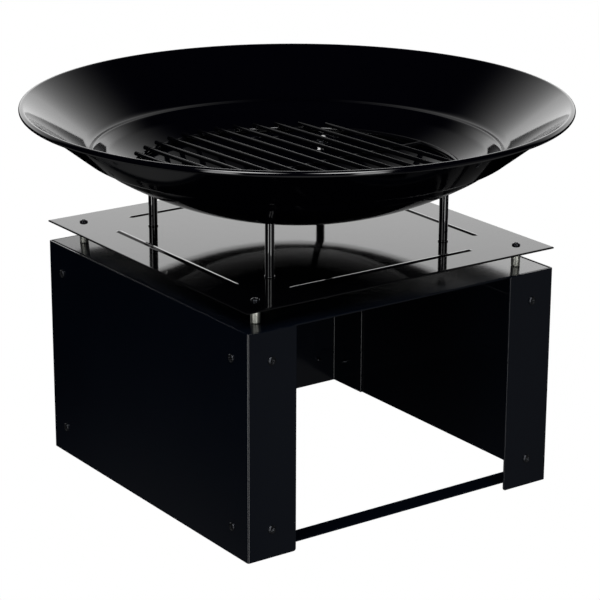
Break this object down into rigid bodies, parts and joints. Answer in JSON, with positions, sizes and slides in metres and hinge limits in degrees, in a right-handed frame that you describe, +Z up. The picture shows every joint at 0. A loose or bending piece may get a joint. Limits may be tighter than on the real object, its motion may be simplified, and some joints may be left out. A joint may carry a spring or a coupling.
{
  "type": "fire pit with grate",
  "caption": "Round enamelled fire bowl with a lift-out round grate, on posts over a square heat plate and an open-fronted square sheet-steel base for logs.",
  "frame": {"origin": "middle of the base on the ground", "axes": "+Z up, -Y towards the open front of the base, +X to the right seen from the front"},
  "size_m": [0.5998, 0.5998, 0.4215],
  "materials": {
    "base_powder_coat": "satin black powder coat on sheet steel",
    "bowl_enamel": "glossy black vitreous enamel on pressed steel",
    "plate_enamel": "glossy black vitreous enamel on sheet steel",
    "grate_enamel": "black enamel on steel wire",
    "post_coat": "gloss black coat on steel tube",
    "spacer_zinc": "bright zinc-plated steel tube",
    "fastener_steel": "blackened zinc-plated steel"
  },
  "bodies": {
    "stand": {"back_panel": "base_powder_coat", "bowl_bolt_back_left": "fastener_steel", "bowl_bolt_back_right": "fastener_steel", "bowl_bolt_front_left": "fastener_steel", "bowl_bolt_front_right": "fastener_steel", "bowl_post_back_left": "post_coat", "bowl_post_back_right": "post_coat", "bowl_post_front_left": "post_coat", "bowl_post_front_right": "post_coat", "bowl_washer_back_left": "fastener_steel", "bowl_washer_back_right": "fastener_steel", "bowl_washer_front_left": "fastener_steel", "bowl_washer_front_right": "fastener_steel", "fire_bowl": "bowl_enamel", "front_tie_strip": "base_powder_coat", "heat_plate": "plate_enamel", "left_side_panel": "base_powder_coat", "panel_screw_back_left_face_lower": "fastener_steel", "panel_screw_back_left_face_upper": "fastener_steel", "panel_screw_back_left_side_lower": "fastener_steel", "panel_screw_back_left_side_upper": "fastener_steel", "panel_screw_back_right_face_lower": "fastener_steel", "panel_screw_back_right_face_upper": "fastener_steel", "panel_screw_back_right_side_lower": "fastener_steel", "panel_screw_back_right_side_upper": "fastener_steel", "panel_screw_front_left_face_lower": "fastener_steel", "panel_screw_front_left_face_upper": "fastener_steel", "panel_screw_front_left_side_lower": "fastener_steel", "panel_screw_front_left_side_upper": "fastener_steel", "panel_screw_front_right_face_lower": "fastener_steel", "panel_screw_front_right_face_upper": "fastener_steel", "panel_screw_front_right_side_lower": "fastener_steel", "panel_screw_front_right_side_upper": "fastener_steel", "plate_nut_back_left": "fastener_steel", "plate_nut_back_right": "fastener_steel", "plate_nut_front_left": "fastener_steel", "plate_nut_front_right": "fastener_steel", "plate_screw_back_left": "fastener_steel", "plate_screw_back_right": "fastener_steel", "plate_screw_front_left": "fastener_steel", "plate_screw_front_right": "fastener_steel", "plate_spacer_back_left": "spacer_zinc", "plate_spacer_back_right": "spacer_zinc", "plate_spacer_front_left": "spacer_zinc", "plate_spacer_front_right": "spacer_zinc", "post_foot_screw_back_left": "fastener_steel", "post_foot_screw_back_right": "fastener_steel", "post_foot_screw_front_left": "fastener_steel", "post_foot_screw_front_right": "fastener_steel", "right_side_panel": "base_powder_coat", "top_panel": "base_powder_coat"},
    "grate": {"grate": "grate_enamel"}
  },
  "joints": [
    {"name": "grate_lift", "type": "slide", "parent": "stand", "child": "grate", "axis": [0, 0, 1], "range_m": [0, 0.1]}
  ]
}
